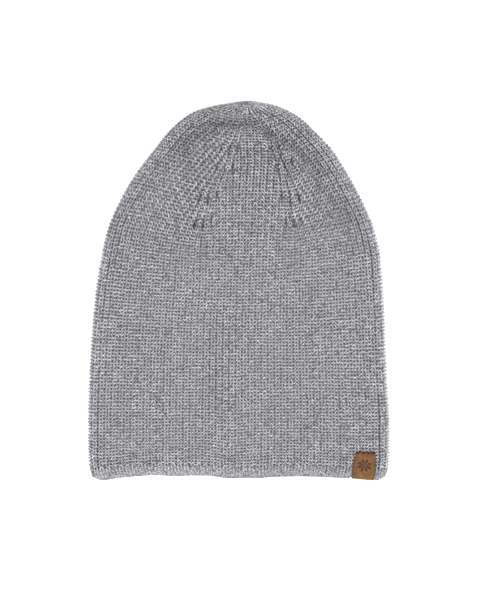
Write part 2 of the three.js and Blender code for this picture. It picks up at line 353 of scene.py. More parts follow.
# Colours, from 0 to 255
DARK_WOOL = (71, 71, 77)
LIGHT_WOOL = (233, 233, 239)
DARK_LEATHER = (90, 58, 22)
LIGHT_LEATHER = (126, 86, 40)
CUT_LEATHER = (62, 38, 20)
PRESSED_LEATHER = (60, 32, 18)
DARK_THREAD = (10, 3, 0)
LIGHT_THREAD = (44, 18, 6)

# The lights, in metres: name, place, size and power
LIGHTS = [
    ("key", (-0.7, -1.2, 1.7), 1.4, 46),
    ("fill", (1.5, 0.2, 1.5), 1.6, 20),
]

# The camera, straight above
CAMERA_HEIGHT = 3.0
OUTLINE_HEIGHT = 0.006  # of the beanie's outline above the floor, in metres
PICTURE_MIDDLE = (0.9, 138.3)  # on the table, in millimetres
PICTURE_HEIGHT = 0.4622  # of the floor in metres, top to bottom
SENSOR = 36

# The steps at which the curves of the rings and of the hem's lift are kept
RING_STEPS = 5800
LIFT_STEPS = 464

# Small steps that give directions, in courses and in radians
COURSE_STEP = 0.05
ANGLE_STEP = 0.004
LABEL_ANGLE_STEP = 0.02

# The label's places on the front are found by halving the courses up to this one
LABEL_SEARCH = 80.0
HALVINGS = 40


def smooth_step(low, high, value):
    """0 up to low and 1 from high on. With low above high it falls from 1 to 0."""
    t = np.clip((value - low) / (high - low), 0, 1)
    return t * t * (3 - 2 * t)


def effect(course, strength, *spans):
    """How strong an effect is at a course."""
    for span in spans:
        strength = strength * smooth_step(*span, course)
    return strength


def bell(away, width):
    return np.exp(-((away / width) ** 2))


def blend(ends, share):
    return ends[0] + (ends[1] - ends[0]) * share


def trough(number):
    """0 at each whole number and 1 half way between two: the valley between two ribs or courses."""
    return 0.5 - 0.5 * np.cos(2 * math.pi * number)


def unit(vectors):
    return vectors / np.maximum(np.linalg.norm(vectors, axis=-1, keepdims=True), 1e-12)


def smooth_columns(rows, fine):
    """Every column of a table on a curve that never overshoots, at the fine steps of its first column."""
    at, values = rows[:, 0], rows[:, 1:]
    steps = np.diff(values, axis=0) / np.diff(at)[:, None]
    slopes = np.vstack([steps[:1], np.zeros_like(steps[1:]), steps[-1:]])
    before, after = steps[:-1], steps[1:]
    same_way = before * after > 0
    total = np.where(same_way, before + after, 1)
    slopes[1:-1] = np.where(same_way, 2 * before * after / total, 0)
    i = np.clip(np.searchsorted(at, fine) - 1, 0, len(at) - 2)
    span = (at[i + 1] - at[i])[:, None]
    t = (fine[:, None] - at[i][:, None]) / span
    straight = blend((values[i], values[i + 1]), smooth_step(0, 1, t))
    return (straight + t * (1 - t) * span * ((1 - t) * slopes[i] - t * slopes[i + 1])).T


FINE = np.linspace(0, LAST_COURSE, RING_STEPS + 1)
CURVES = smooth_columns(RINGS, FINE)
FINE_X = np.linspace(*HEM_LIFT[[0, -1], 0], LIFT_STEPS + 1)
LIFTS = smooth_columns(HEM_LIFT, FINE_X)[0]


def ring_at(course):
    return [np.interp(course, FINE, curve) for curve in CURVES]


def dent_depth(x, y):
    depth = np.zeros(np.broadcast(x, y).shape)
    for x0, y0, x1, y1, deep, width in DENTS:
        dx, dy = x1 - x0, y1 - y0
        t = np.clip(((x - x0) * dx + (y - y0) * dy) / (dx * dx + dy * dy), 0, 1)
        away = np.hypot(x - x0 - t * dx, y - y0 - t * dy)
        depth = np.maximum(depth, deep * bell(away, width))
    return depth


def height_of(course, angle):
    """How far up the table a place of the outer surface lies."""
    front, edge, back = ring_at(course)[:3]
    middle = np.where(np.sin(angle) >= 0, front, back)
    return middle + (edge - middle) * np.cos(angle) ** 2


def surface(course, angle):
    """Points of the bag's outer surface. The front runs from angle 0, the right fold, to pi at the left."""
    front, edge, back, left, right, top, fold, under = ring_at(course)
    across = np.cos(angle)
    reach = np.abs(across)
    half_width = (right - left) / 2
    x = (left + right) / 2 + half_width * across
    upper = np.sin(angle) >= 0
    middle = np.where(upper, front, back)
    y = middle + (edge - middle) * reach**2
    y = y + np.interp(x, FINE_X, LIFTS) * (1 - smooth_step(0, HEM_LIFT_COURSES, course))
    crown = (1 - reach**UPPER_FULLNESS) ** UPPER_ROUNDNESS
    z_upper = fold + (top - fold) * crown - dent_depth(x, y) * crown
    power = np.maximum(2 * half_width / np.maximum(fold - under, 1), LEAST_LOWER_POWER)
    z_lower = fold - (fold - under) * np.sqrt(1 - reach**power)
    z_lower = np.where(z_lower < FLAT, 0, z_lower)
    return np.stack([x, y, np.where(upper, z_upper, z_lower)], axis=-1)


def surface_normals(course, angle):
    """The bag's own outward directions, from small steps along and round it."""
    up = surface(course + COURSE_STEP, angle) - surface(np.maximum(course - COURSE_STEP, 0), angle)
    along = surface(course, angle + ANGLE_STEP) - surface(course, angle - ANGLE_STEP)
    return unit(np.cross(up, along))


def grid_normals(points):
    """The outward direction at each point of a closed grid of rows, from its neighbours."""
    along = np.roll(points, -1, axis=1) - np.roll(points, 1, axis=1)
    return unit(np.cross(np.gradient(points, axis=0), along))


def x_of(course, angle):
    left, right = ring_at(course)[3:5]
    return (left + right) / 2 + (right - left) / 2 * np.cos(angle)


def fold_distance(course, angle):
    """How far each place lies from the nearer fold, seen from above."""
    left, right = ring_at(course)[3:5]
    return (right - left) / 2 * (1 - np.abs(np.cos(angle)))


def course_place(course, angle):
    """The ring that a knitted course crosses at an angle."""
    front, edge, back, left, right = ring_at(course)[:5]
    x = x_of(course, angle)
    middle = np.where(np.sin(angle) >= 0, front, back)
    centre = np.interp(course, *CENTRE_LINE.T)
    on_right = x >= centre
    away = np.abs(x - centre)
    mark_left = np.interp(course, ROUND_AT, LEFT_MARKS)
    mark_right = np.interp(course, ROUND_AT, RIGHT_MARKS)
    panel = np.maximum(np.where(on_right, mark_right - centre, centre - mark_left), 1)
    whole = np.maximum(np.where(on_right, right - centre, centre - left), panel + 1)
    past = KINK_SOFTNESS * np.logaddexp(0, (away - panel) / KINK_SOFTNESS)
    most = KINK_SOFTNESS * np.logaddexp(0, (whole - panel) / KINK_SOFTNESS)
    bend = (edge - middle + ARCH) * past / most - ARCH * np.minimum(away / panel, 1) ** 2
    shift = effect(course, *ARCHED) * (bend - (edge - middle) * np.cos(angle) ** 2)
    shift = shift - effect(course, *CREASE_DIP) * bell(x - CREASE_X, CREASE_WIDTH)

    wanted = height_of(course, angle) + shift
    place = course + 0 * shift
    step = 0.1
    least_slope = 0.5
    rounds = 4
    for _ in range(rounds):
        slope = (height_of(place + step, angle) - height_of(place - step, angle)) / (2 * step)
        place = place + (wanted - height_of(place, angle)) / np.maximum(slope, least_slope)
        place = np.clip(place, 0, LAST_COURSE)
    return place


def rib_counts(course):
    """The ribs left and right of the centre line at a course."""
    lost = np.vstack([(0, 0), np.cumsum(ROUNDS[:, 3:], axis=0)])[np.searchsorted(ROUND_AT, course)]
    return LEFT_RIBS - lost[:, 0], RIGHT_RIBS - lost[:, 1]


def even_counts(course):
    """The same, with each loss spread over the courses between two rounds."""
    first, last = LOSS_COURSES
    nodes = np.concatenate([[first], (ROUND_AT[:-1] + ROUND_AT[1:]) / 2, [last]])
    return [np.interp(course, nodes, counts) for counts in rib_counts(nodes)]


def lay_out_face(courses, is_back, cells):
    """The angles, both rib numbers and the mean rib width of a grid on one face, one row per course."""
    samples = math.pi * (is_back + np.linspace(0, 1, ARC_SAMPLES))
    points = surface(course_place(courses[:, None], samples), samples + 0 * courses[:, None])
    steps = np.linalg.norm(np.diff(points * (1, 1, RISE_SHARE), axis=1), axis=2)
    length = np.pad(np.cumsum(steps, axis=1), ((0, 0), (1, 0)))
    total = length[:, -1:]
    targets = total * np.linspace(0, 1, cells + 1)
    angles = np.array([np.interp(t, row, samples) for t, row in zip(targets, length)])
    way = 1 if is_back else -1

    def arc_at(x):
        """How far along its row each course reaches its own x."""
        rows = zip(way * x, way * points[:, :, 0], length)
        return np.array([np.interp(end, xs, row) for end, xs, row in rows])[:, None]

    centre = arc_at(np.interp(courses, *CENTRE_LINE.T))
    marks = [arc_at(np.interp(courses, ROUND_AT, x)) for x in (LEFT_MARKS, RIGHT_MARKS)]
    first, last = (0, 1) if is_back else (1, 0)  # the front starts at its right fold, the back at its left
    even = [count[:, None] for count in even_counts(courses)]
    mean_pitch = total / (even[0] + even[1])
    middle_pitch = mean_pitch * np.interp(courses, *MIDDLE_WIDTH.T)[:, None]
    before = targets < centre
    away = np.abs(targets - centre)
    panel = np.where(before, centre - marks[first], marks[last] - centre)
    whole = np.where(before, centre, total - centre)
    side_pitch = (whole - panel) / (np.where(before, even[first], even[last]) - panel / middle_pitch)
    spread = np.minimum(MARK_SPREAD, MOST_SPREAD * panel)
    to_side = smooth_step(-spread, spread, away - panel)

    ribs = []
    for shift in (-SWING_BLEND, SWING_BLEND):
        counts = [count[:, None] for count in rib_counts(courses + shift)]
        own_count = np.where(before, counts[first], counts[last])
        from_fold = (whole - away) / side_pitch
        from_centre = (1 - to_side) * away / middle_pitch + to_side * (own_count - from_fold)
        ribs.append(counts[first] + np.where(before, -from_centre, from_centre))
    return angles, ribs, np.broadcast_to(mean_pitch, targets.shape)


def lay_out(courses, front_cells, back_cells):
    """The angles, rib numbers and mean rib width of a grid round the knit, whose last column closes it.

    The rib numbers come twice, as counted below and above the nearest decrease round.
    """
    angles, ribs, pitch = lay_out_face(courses, 0, front_cells)
    back_angles, back_ribs, back_pitch = lay_out_face(courses, 1, back_cells)
    join = lambda front, back: np.concatenate([front[:, :-1], back], axis=1)
    for k, shift in enumerate((-SWING_BLEND, SWING_BLEND)):
        front_count = sum(rib_counts(courses + shift))[:, None]
        ribs[k] = join(ribs[k], front_count + back_ribs[k])
    return join(angles, back_angles), ribs, join(pitch, back_pitch)


def share_above(courses, span):
    """How far each row has taken up the rib count above its nearest decrease round."""
    nearest = ROUND_AT[np.abs(courses[:, None] - ROUND_AT).argmin(axis=1)]
    return smooth_step(-span, span, courses - nearest)[:, None]


def nearer_ribs(ribs, courses):
    """Of the two rib numbers, the one that holds in each row."""
    return np.where(share_above(courses, MARK_BLEND) >= 0.5, ribs[1], ribs[0])


def hashed(i, j, seed):
    """An even random number from 0 to 1 for each pair of whole numbers, by the common sine hash."""
    value = np.sin(i * 12.9898 + j * 78.233 + seed * 37.719) * 43758.5453
    return value - np.floor(value)


def along_yarn(ribs, course, quality):
    """Random from -1 to 1, smooth along the yarn of one course and unlike its neighbours'."""
    x = ribs * GRAIN[quality]
    i = np.floor(x)
    t = smooth_step(0, 1, x - i)
    return 2 * blend((hashed(i, course, quality), hashed(i + 1, course, quality)), t) - 1


def zigzag(ribs, courses):
    """How far a yarn swings off its course at each rib number."""
    swing = ZIGZAG * np.cos(2 * math.pi * ribs)
    for size, by_rib, by_course, start in SWAYS:
        swing = swing + size * np.sin(ribs * by_rib + courses * by_course + start)
    below = np.floor(courses)
    stray = blend((along_yarn(ribs, below, STRAY), along_yarn(ribs, below + 1, STRAY)), courses - below)
    return effect(courses, swing + ZIGZAG_WANDER * stray, FIRST_STITCHES, LAST_SWINGS)


def stitch_depth(ribs, courses, pitch):
    """How deep the stitches lie under the bag's surface."""
    course = np.round(courses)
    off = np.abs(courses - course)
    turn = 2 * math.pi * ribs
    lean = 2 * math.pi * ZIGZAG * np.sin(turn) * COURSE_LENGTH / pitch
    scale = np.clip(pitch / FULL_PITCH, LEAST_SCALE, 1)
    radius = YARN * (1 + YARN_WANDER * along_yarn(ribs, course, THICKNESS)) * scale
    distance = off * COURSE_LENGTH / np.sqrt(1 + lean**2) * scale
    side = radius - np.sqrt(np.maximum(radius**2 - distance**2, 0))
    valley = trough(ribs)
    opening = 1 + PIT_WANDER * along_yarn(ribs, np.floor(courses) + 0.5, OPENING)
    opening = opening * (1 + PIT_IN_VALLEY * (valley - 0.5))
    pit = effect(off, *PIT) * np.abs(np.cos(turn)) ** PIT_SHARPNESS * opening
    crest = RIB_HEIGHT * valley + HEAD_DROP * (np.cos(2 * turn) - 1) / 2
    crest = crest + CREST_WANDER * (1 + along_yarn(ribs, course, CREST))
    groove = effect(off, *LEG_GROOVE) * np.sin(turn) ** 2
    return (crest + np.minimum(side, YARN_SIDE) + pit + groove) * scale


def edging_depth(ribs, courses):
    """The hem's edging: a smooth roll under a row of upright slits, two to each rib."""
    slit = np.abs(np.cos(2 * math.pi * ribs)) ** EDGING_SHARPNESS
    strength = ROLL_SLIT + effect(courses, *EDGING_SLIT)
    return strength * slit + EDGING_LEVEL + EDGING_WANDER * along_yarn(ribs, 0, EDGING)


def valley_depth(ribs, courses, angles):
    """How far the valleys stand open: beside the folds, in the crown's middle and at the crease."""
    across = np.cos(angles)
    in_crown = smooth_step(*CROWN_LINE_COURSES, courses)
    line = np.where(across > 0, blend(RIGHT_LINE, in_crown), blend(LEFT_LINE, in_crown))
    beside_fold = bell(fold_distance(courses, angles) - line, blend(LINE_WIDTH, in_crown))
    beside_fold = beside_fold * (1 - effect(courses, *CLOSED_LINE))
    beside_fold = beside_fold * (1 + RIGHT_CROWN_LINE * in_crown * (across > 0))
    in_middle = sum(effect(courses, *valley) for valley in MIDDLE_VALLEYS) * (np.abs(across) < MIDDLE_REACH)
    at_crease = bell(x_of(courses, angles) - CREASE_VALLEY_X, CREASE_WIDTH) * (np.sin(angles) > 0)
    at_crease = at_crease * effect(courses, *CREASE_VALLEY)
    opening = np.maximum(np.maximum(beside_fold, in_middle), at_crease)
    return VALLEY_OPENING * trough(ribs) ** VALLEY_SHARPNESS * opening


def pleat_depth(ribs, courses):
    """The pleats that run into the closing, one to each rib."""
    return PLEAT_DEPTH * trough(ribs) ** 2 * (1 - effect(courses, *PLEAT_END))


def slit_share(x, courses):
    """Where the open slits of the crown's marks are, from 0 to 1."""
    share = np.zeros(np.broadcast(x, courses).shape)
    for course, left, right, lost_left, lost_right in ROUNDS[:SLIT_ROUNDS]:
        for mark, way, lost in ((left, -1, lost_left), (right, 1, lost_right)):
            for k in range(int(lost)):
                place = k - (lost - 1) / 2
                lean = way * (SLIT_LEAN + SLIT_FAN * place)
                line = mark + way * place * SLIT_STEP + lean * (courses - course)
                ends = smooth_step(*SLIT_ENDS, np.abs(courses - course))
                share = np.maximum(share, bell(x - line, SLIT_HALF_WIDTH) * ends)
    return share


def swung_surface(ribs, courses, angles):
    """The bag's points and outward directions where the yarns' zigzag takes the rows of a grid."""
    up = courses[:, None]
    swing = blend([zigzag(r, up) for r in ribs], share_above(courses, SWING_BLEND))
    at_fold = bell(np.sin(angles), FOLD_SPAN)
    swung = np.clip(up + swing * (1 - FOLD_STILL * at_fold), 0, LAST_COURSE - 1 / COURSE_ROWS)
    place = course_place(swung, angles)
    return surface(place, angles), surface_normals(place, angles)


def knit_depth(ribs, own_ribs, courses, angles, pitch):
    """How deep the relief lies under the bag's surface, from the hem's edging to the closing's pleats."""
    up = courses[:, None]
    depth = blend([stitch_depth(r, up, pitch) for r in ribs], share_above(courses, MARK_BLEND))
    stitches = smooth_step(*FIRST_STITCHES, up)
    depth = blend((edging_depth(ribs[0], up), depth), stitches)
    depth = depth + stitches * valley_depth(own_ribs, up, angles)
    pleats = smooth_step(*PLEATS, up)
    depth = (1 - PLEAT_CALM * pleats) * depth + pleats * pleat_depth(ribs[1], up)
    at_fold = bell(np.sin(angles), FOLD_SPAN)
    loops = FOLD_LOOPS * stitches * np.cos(2 * math.pi * (up - LOOP_START))
    depth = (1 - FOLD_CALM * at_fold) * depth - at_fold * (effect(up, *FOLD_SWELL) + loops)
    return depth * (1 - effect(up, *CROWN_CALM))


def shown_depth(depth, slits, courses, angles):
    """The depth that the wool's painted shade is taken from: less contrast in the crown, and painted shade
    darker in the slits.
    """
    shown = blend((depth, np.minimum(depth, DARKEST)), smooth_step(*CLAMPED, courses))
    off_fold = 1 - bell(fold_distance(courses, angles), FADE_CLEARANCE)
    more = smooth_step(*FADED_LEFT, np.cos(angles)) * effect(courses, *LEFT_CROWN_FADE)
    fade = effect(courses, *CROWN_FADE) * off_fold * (1 + more)
    shown = blend((shown, MIDDLE_DEPTH), fade)
    return blend((shown, MOST_DEPTH), SLIT_DARKNESS * slits)


def yarn_tone_and_painted_shade(ribs, courses, hem_x):
    """The heather's random tones along each yarn, with painted shade on the edging and its lip."""
    course = np.round(courses)
    tone_and_painted_light = TONE_SWING * along_yarn(ribs, course, TONE)
    tone_and_painted_light = tone_and_painted_light + LONG_TONE_SWING * along_yarn(ribs, course, LONG_TONE)
    tone_and_painted_light = tone_and_painted_light * blend((EDGING_TONES, 1), smooth_step(*FIRST_STITCHES, courses))
    # painted shade on the edging and on its lip
    edging_shade = np.interp(hem_x, *EDGING_SHADE.T) * smooth_step(*EDGING_SHADE_ENDS, courses)
    return tone_and_painted_light - edging_shade - effect(courses, *LIP_SHADE)


def painted_light_and_shade(base, courses, angles):
    """The painted light on the folds and the gather, and the painted shade on the folds' edges, the crown
    and the dents.
    """
    across = np.cos(angles)
    from_fold = fold_distance(courses, angles)
    fold_light = FOLD_LIGHT * np.exp(-from_fold / FOLD_REACH)
    crown_light = effect(courses, *CROWN_FOLD_LIGHT) * np.exp(-from_fold / CROWN_FOLD_REACH)
    fold_shade = np.where(across > 0, RIGHT_FOLD_SHADE, LEFT_FOLD_SHADE) * bell(from_fold, FOLD_SHADE_WIDTH)
    fold_shade = fold_shade * (1 - effect(courses, *FOLD_SHADE_LOSS))
    crown_shade = effect(courses, *CROWN_SHADE) * (1 + LEFT_CROWN_SHADE * smooth_step(*SHADED_LEFT, across))
    dents = dent_depth(base[:, :, 0], base[:, :, 1]) * (np.sin(angles) > 0)
    light = fold_light + crown_light + effect(courses, *GATHER_LIGHT)
    return light - fold_shade - crown_shade - effect(courses, *DENT_SHADE) * np.sqrt(dents)


def hem_rim(base, normals):
    """The rows that bend from the inner wall over the hem's edge to course 0: points and directions."""
    turn = np.linspace(math.pi, 0, RIM_ROWS + 1)[:-1, None, None]
    hemward = unit(base[0] - base[1])
    core = base[0] - normals[0] * WALL / 2
    middle, half_width = HELD_HEM
    held = smooth_step(*HELD_ENDS, np.abs(base[0, :, 0] - middle) - half_width)[:, None]
    reach = blend((HEM_ROUND, PINCHED_HEM), held)
    rim = core + normals[0] * (WALL / 2) * np.cos(turn) + hemward * reach * np.sin(turn)
    return rim, normals[0] * np.cos(turn) + hemward * np.sin(turn)


def outer_grid():
    """The outside of the knit with its relief, from the inner end of the hem's rim to the closing.

    It gives points, normals, course numbers, rib numbers, the shown depth for the painted shade, and the
    tone with its painted light and shade, the rim's rows first.
    """
    courses = np.append(np.arange(0, TOP_COURSE * COURSE_ROWS) / COURSE_ROWS, TOP_COURSE)
    angles, ribs, pitch = lay_out(courses, RIBS * FRONT_CELLS, RIBS * BACK_CELLS)
    own_ribs = nearer_ribs(ribs, courses)
    angles, pitch, *ribs = (values[:, :-1] for values in (angles, pitch, *ribs))
    up = courses[:, None]
    base, normals = swung_surface(ribs, courses, angles)
    slits = slit_share(base[:, :, 0], up)
    depth = knit_depth(ribs, own_ribs[:, :-1], courses, angles, pitch)
    depth = np.minimum(depth + SLIT_DEPTH * slits, MOST_DEPTH)
    on_left = smooth_step(*FADED_LEFT, np.cos(angles))
    relief = depth * (1 - effect(up, *LEFT_CROWN_CALM) * on_left)

    rim, rim_normals = hem_rim(base, normals)
    rim_depth = edging_depth(ribs[0][:1], np.zeros((RIM_ROWS, 1)))
    relief = np.concatenate([rim_depth, relief])
    points = np.concatenate([rim, base]) - np.concatenate([rim_normals, normals]) * relief[:, :, None]
    shown = np.concatenate([rim_depth, shown_depth(depth, slits, up, angles)])
    rows = np.concatenate([np.linspace(*RIM_COURSES, RIM_ROWS), courses])
    own_ribs = np.concatenate([np.repeat(own_ribs[:1], RIM_ROWS, axis=0), own_ribs])
    tone_and_painted_light = yarn_tone_and_painted_shade(own_ribs[:, :-1], rows[:, None], base[0, :, 0])
    # painted light and painted shade by place
    tone_and_painted_light[RIM_ROWS:] += painted_light_and_shade(base, up, angles)
    return points, grid_normals(points), rows, own_ribs, shown, tone_and_painted_light


def inner_grid():
    """The inside of the knit: points, normals, course numbers, rib numbers and how far the ribs swell."""
    fine = np.arange(0, INSIDE_FINE * INSIDE_ROWS) / INSIDE_ROWS
    courses = np.concatenate([fine, np.arange(INSIDE_FINE, INSIDE_TOP + 1)])
    angles, ribs, _ = lay_out(courses, RIBS * FRONT_CELLS // 2, RIBS * BACK_CELLS // 2)
    own_ribs = nearer_ribs(ribs, courses)
    angles = angles[:, :-1]
    valley = trough(own_ribs[:, :-1])
    up = courses[:, None]
    base = surface(course_place(up + 0 * angles, angles), angles)
    swell = effect(up, *INSIDE_RIB) * (1 - valley)
    stitch = trough(up + INSIDE_SWING * (1 - 2 * valley))
    swell = swell + effect(up, *INSIDE_STITCH) * stitch
    points = base - grid_normals(base) * (WALL - swell[:, :, None])
    return points, -grid_normals(points), courses, own_ribs, swell


low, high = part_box("knit_shell")
left_end = np.min(surface(FINE, math.pi)[:, 0])
right_end = np.max(surface(FINE, 0.0)[:, 0])
crown_end = np.max(RINGS[:, 3])
SHIFT = np.array([(low.x + high.x) / 2 / MM - (left_end + right_end) / 2, high.y / MM - crown_end, 0])


def to_frame(points):
    """Table millimetres to the frame's metres."""
    return (points + SHIFT) * MM


def new_mesh(name, points, quads, triangles, material):
    """A smooth-shaded mesh object from arrays of corners and faces."""
    mesh = bpy.data.meshes.new(name)
    corners = np.concatenate([quads.ravel(), triangles.ravel()]).astype(np.int32)
    sizes = np.concatenate([np.full(len(quads), 4), np.full(len(triangles), 3)])
    starts = np.concatenate([[0], np.cumsum(sizes)[:-1]]).astype(np.int32)
    mesh.vertices.add(len(points))
    mesh.vertices.foreach_set("co", to_frame(points).astype(np.float32).ravel())
    mesh.loops.add(len(corners))
    mesh.loops.foreach_set("vertex_index", corners)
    mesh.polygons.add(len(sizes))
    mesh.polygons.foreach_set("loop_start", starts)
    mesh.polygons.foreach_set("use_smooth", np.ones(len(sizes), dtype=bool))
    mesh.update(calc_edges=True)
    mesh.materials.append(material)
    piece = bpy.data.objects.new(name, mesh)
    bpy.context.scene.collection.objects.link(piece)
    return piece


def add_number(piece, name, values):
    """A number at each point of a mesh, for its material."""
    layer = piece.data.attributes.new(name, "FLOAT", "POINT")
    layer.data.foreach_set("value", np.asarray(values, np.float32).ravel())


def set_pairs(layer, grids, last):
    """Two numbers at each corner of a band's faces: its grids' cells first, then its triangles."""
    pairs = np.concatenate([*(grid.reshape(-1, 2) for grid in grids), last])
    layer.foreach_set("vector", pairs.astype(np.float32).ravel())


def cell_corners(rows, columns):
    """Row and column numbers of the four corners of each cell of a grid, in order as seen from outside."""
    r, j = (a.ravel() for a in np.meshgrid(np.arange(rows - 1), np.arange(columns), indexing="ij"))
    return np.stack([r, r, r + 1, r + 1], axis=1), np.stack([j + 1, j, j, j + 1], axis=1)


def band_map(r, j, rows, columns, front, strip):
    """Where the corners of a band's cells lie in its texture map, its front and back in a strip each."""
    on_back = (j.min(axis=1, keepdims=True) >= front).astype(int)
    along = np.where(on_back, (j - front) / (columns - front), j / front)
    up = STRIP_MARGIN + (1 - 2 * STRIP_MARGIN) * r / (rows - 1)
    across = (strip + on_back + up) / STRIPS
    return np.stack([STRIP_END + (1 - 2 * STRIP_END) * along, STRIPS_TOP * across], axis=2)


def knit_band(name, outer, inner, closes, material):
    """One closed band of the knit: its outside, its inside and the walls that join them."""
    depth, tone_and_painted_light = outer[4:]
    rows, columns = outer[0].shape[:2]
    in_rows, in_columns = inner[0].shape[:2]
    first_in = rows * columns
    front = RIBS * FRONT_CELLS
    all_points, all_normals, quads, maps, yarns = [], [], [], [], []
    for grid, first, front, strip, way in ((outer, 0, front, 0, 1), (inner, first_in, front // 2, 2, -1)):
        points, normals, courses, ribs = grid[:4]
        shape = points.shape[:2]
        r, j = (a[:, ::way] for a in cell_corners(*shape))
        quads.append(first + r * shape[1] + j % shape[1])
        maps.append(band_map(r, j, *shape, front, strip))
        yarns.append(np.stack([ribs[r, j], courses[r]], axis=2))
        all_points.append(points.reshape(-1, 3))
        all_normals.append(normals.reshape(-1, 3))
    k = np.arange(in_columns)

    def wall(row, in_row, turned):
        """The wall at one end, with two outer cells to each inner one."""
        at = lambda n: row * columns + n % columns
        in_at = lambda n: first_in + in_row * in_columns + n % in_columns
        faces = [
            (in_at(k + 1), in_at(k), at(2 * k + 1)),
            (in_at(k), at(2 * k), at(2 * k + 1)),
            (in_at(k + 1), at(2 * k + 1), at(2 * k + 2)),
        ]
        faces = np.concatenate([np.stack(corners, axis=1) for corners in faces])
        return faces[:, ::-1] if turned else faces

    triangles = [wall(0, 0, False)]
    # the depths that the wool's painted shade in the hollows is taken from
    painted_hollow_shade = [depth.ravel(), INSIDE_HOLLOW - inner[4].ravel()]
    if closes:
        tip = surface(np.array(float(LAST_COURSE)), np.array(0.0))
        facing = unit(outer[1][-1].mean(axis=0))
        outer_tip = first_in + in_rows * in_columns
        edge, in_edge = (rows - 1) * columns, first_in + (in_rows - 1) * in_columns
        j = np.arange(columns)
        outside = (edge + (j + 1) % columns, edge + j, np.full(columns, outer_tip))
        inside = (in_edge + k, in_edge + (k + 1) % in_columns, np.full(in_columns, outer_tip + 1))
        triangles += [np.stack(outside, axis=1), np.stack(inside, axis=1)]
        all_points += [(tip - TIP_SINK * facing)[None], (tip - (WALL + INSIDE_TIP_SINK) * facing)[None]]
        all_normals += [facing[None], -facing[None]]
        painted_hollow_shade += [[TIP_HOLLOW], [TIP_HOLLOW]]
    else:
        triangles.append(wall(rows - 1, in_rows - 1, True))
    triangles = np.concatenate(triangles)

    piece = new_mesh(name, np.concatenate(all_points), np.concatenate(quads), triangles, material)
    add_number(piece, "painted_hollow_shade", np.concatenate(painted_hollow_shade) / MOST_DEPTH)
    tones_and_painted_light = np.zeros(len(piece.data.vertices))
    tones_and_painted_light[: tone_and_painted_light.size] = tone_and_painted_light.ravel()
    add_number(piece, "tone_and_painted_light", tones_and_painted_light)
    set_pairs(piece.data.uv_layers.new(name="OFBake").uv, maps, np.tile(WALL_CORNERS, (len(triangles), 1)))
    yarn = piece.data.attributes.new("yarn", "FLOAT2", "CORNER")
    set_pairs(yarn.data, yarns, np.zeros((3 * len(triangles), 2)))
    piece.data.normals_split_custom_set_from_vertices(np.concatenate(all_normals).astype(np.float32))
    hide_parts("knit_shell")
    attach(piece, "root")


def make_knit(material):
    """The whole knit, in bands that each stay under the triangle limit."""
    grids = (outer_grid(), inner_grid())
    for name, first, last in BANDS:
        parts = []
        for grid in grids:
            start, end = np.searchsorted(grid[2], (first, last))
            parts.append([values[start : end + 1] for values in grid])
        knit_band(name, *parts, last == LAST_COURSE, material)


def on_front(x, y):
    """Places on the front at given x and y, with their outward and crownward directions."""
    low, high = np.zeros(x.shape), np.full(x.shape, LABEL_SEARCH)

    def at(course, turn=0.0):
        left, right = ring_at(course)[3:5]
        return surface(course, np.arccos((x - (left + right) / 2) / ((right - left) / 2)) - turn)

    for _ in range(HALVINGS):
        middle = (low + high) / 2
        under = at(middle)[..., 1] < y
        low, high = np.where(under, middle, low), np.where(under, high, middle)
    point = at(low)
    up = at(low + COURSE_STEP) - point
    across = at(low, LABEL_ANGLE_STEP) - point
    return point, unit(np.cross(across, up)), unit(up)


def star_cut(u, v):
    """How deep the label's star is pressed in, from 0 to 1, at millimetres from its middle."""
    distance = np.hypot(u, v)
    step = 2 * math.pi / PETALS
    turn = np.arctan2(v, u) / step - 0.5
    off = (turn - np.round(turn)) * step
    along, across = distance * np.cos(off), np.abs(distance * np.sin(off))
    share = np.clip((along - STAR_HUB) / (STAR_SIZE - STAR_HUB), 0, 1)
    half = PETAL_HALF_WIDTH * np.minimum(share / PETAL_WIDEST, (1 - share) / (1 - PETAL_WIDEST))
    return smooth_step(*STAR_SLOPE, half - across) * (along < STAR_SIZE)


